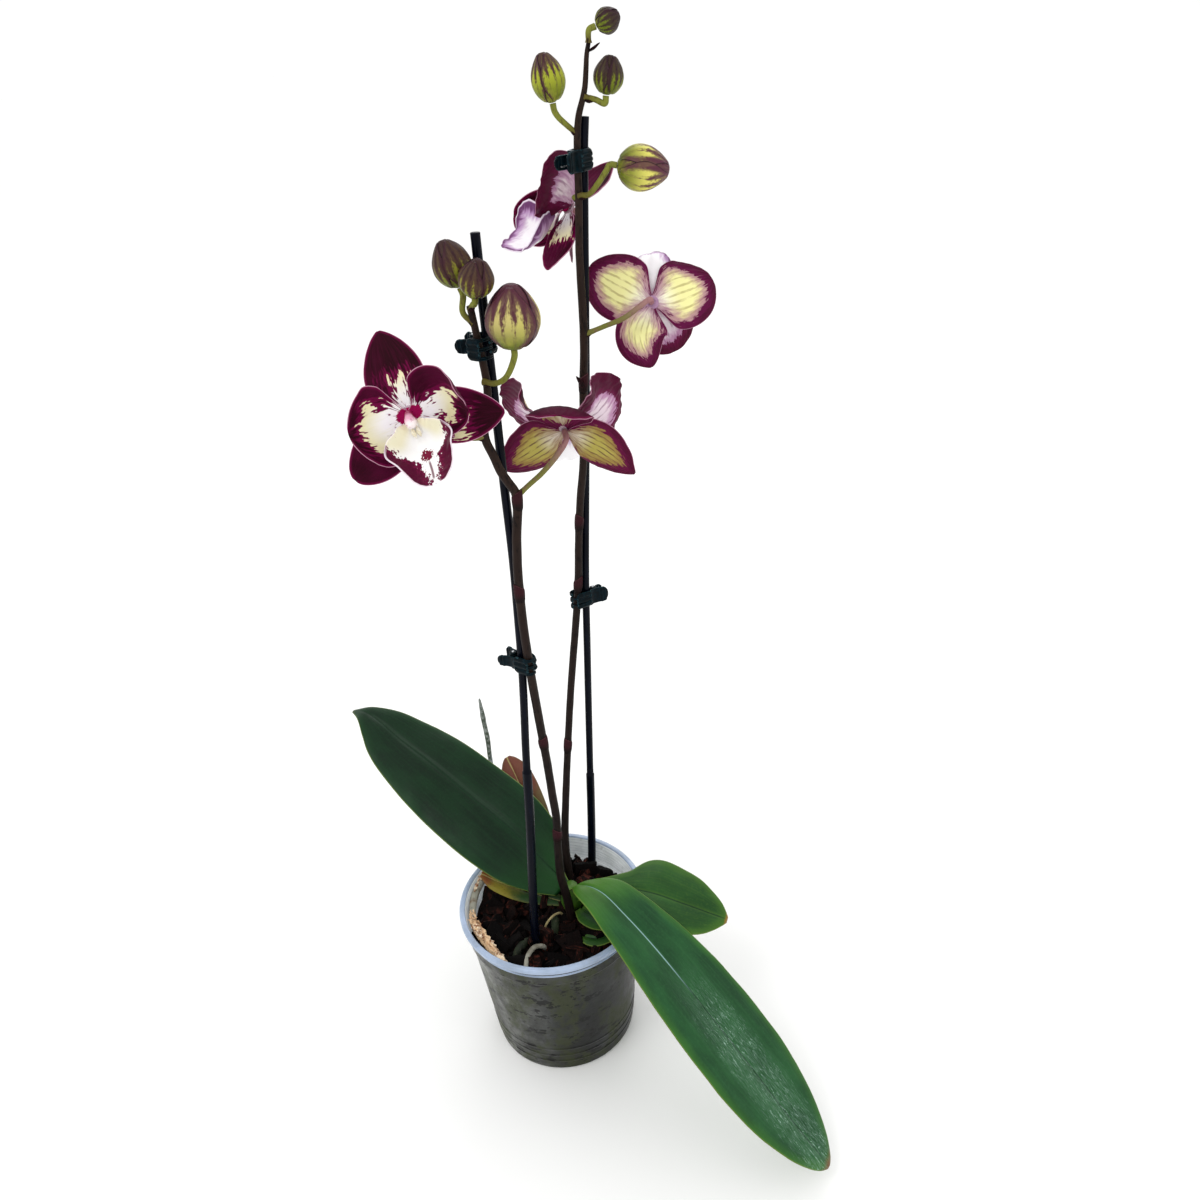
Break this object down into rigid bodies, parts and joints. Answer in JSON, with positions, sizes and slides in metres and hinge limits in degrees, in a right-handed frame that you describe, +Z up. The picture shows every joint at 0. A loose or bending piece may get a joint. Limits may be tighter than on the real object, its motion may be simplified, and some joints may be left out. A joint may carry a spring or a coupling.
{
  "type": "potted moth orchid",
  "caption": "Daruma moth orchid in a frosted clear nursery pot of bark, with broad arching leaves and staked flower spikes of burgundy blooms and buds held by claw clips.",
  "frame": {"origin": "centre of the pot's foot, on the surface that the pot stands on", "axes": "+Z up along the pot, -Y towards the side that the blooms are seen from, +X to that viewer's right"},
  "size_m": [0.2636, 0.2781, 0.6033],
  "materials": {
    "pot_plastic": "frosted clear",
    "bark": "rough",
    "leaf": "waxy",
    "old_leaf": "dry",
    "flower_stem": "waxy",
    "stake_coating": "gloss",
    "root": "matte",
    "green_root": "matte",
    "bud": "waxy",
    "tepal": "velvet",
    "lip": "waxy",
    "spring_steel": "bright",
    "clip_plastic": "satin"
  },
  "bodies": {
    "plant_and_pot": {"pot": "pot_plastic", "crown": "leaf", "stake_left": "stake_coating", "stake_right": "stake_coating", "spike_left": "flower_stem", "spike_right": "flower_stem", "leaf_left_big": "leaf", "leaf_right_big": "leaf", "leaf_right_small": "leaf", "leaf_old_upright": "old_leaf", "leaf_yellowing": "old_leaf", "leaf_lower_front": "leaf", "leaf_lower_small": "leaf", "root_rim": "root", "root_front": "root", "root_green_left": "green_root", "root_green_middle": "green_root", "root_sliver": "root", "root_aerial": "root", "bark": "bark", "bud_1": "bud", "bud_2": "bud", "bud_3": "bud", "bud_4": "bud", "bud_5": "bud", "bud_6": "bud", "bud_7": "bud", "bloom_a_sepals": "tepal", "bloom_a_petals": "tepal", "bloom_a_lip": "lip", "bloom_a_column": "lip", "bloom_b_sepals": "tepal", "bloom_b_petals": "tepal", "bloom_b_lip": "lip", "bloom_b_column": "lip", "bloom_c_sepals": "tepal", "bloom_c_petals": "tepal", "bloom_c_lip": "lip", "bloom_c_column": "lip", "bloom_d_sepals": "tepal", "bloom_d_petals": "tepal", "bloom_d_lip": "lip", "bloom_d_column": "lip", "clip_1_jaw_fixed": "clip_plastic", "clip_1_spring": "spring_steel", "clip_2_jaw_fixed": "clip_plastic", "clip_2_spring": "spring_steel", "clip_3_jaw_fixed": "clip_plastic", "clip_3_spring": "spring_steel", "clip_4_jaw_fixed": "clip_plastic", "clip_4_spring": "spring_steel"},
    "clip_1_jaw": {"clip_1_jaw_moving": "clip_plastic"},
    "clip_2_jaw": {"clip_2_jaw_moving": "clip_plastic"},
    "clip_3_jaw": {"clip_3_jaw_moving": "clip_plastic"},
    "clip_4_jaw": {"clip_4_jaw_moving": "clip_plastic"}
  },
  "joints": [
    {"name": "clip_1_hinge", "type": "hinge", "parent": "plant_and_pot", "child": "clip_1_jaw", "pos_m": [0.0542, 0.034, 0.541], "axis": [0, 0, -1], "range_deg": [0, 28], "stiffness_Nm_per_rad": 0.02},
    {"name": "clip_2_hinge", "type": "hinge", "parent": "plant_and_pot", "child": "clip_2_jaw", "pos_m": [-0.0024, -0.024, 0.475], "axis": [0, 0, 1], "range_deg": [0, 28], "stiffness_Nm_per_rad": 0.02},
    {"name": "clip_3_hinge", "type": "hinge", "parent": "plant_and_pot", "child": "clip_3_jaw", "pos_m": [0.0474, 0.0424, 0.303], "axis": [0, 0, 1], "range_deg": [0, 28], "stiffness_Nm_per_rad": 0.02},
    {"name": "clip_4_hinge", "type": "hinge", "parent": "plant_and_pot", "child": "clip_4_jaw", "pos_m": [-0.0036, -0.0214, 0.305], "axis": [0, 0, 1], "range_deg": [0, 28], "stiffness_Nm_per_rad": 0.02}
  ]
}
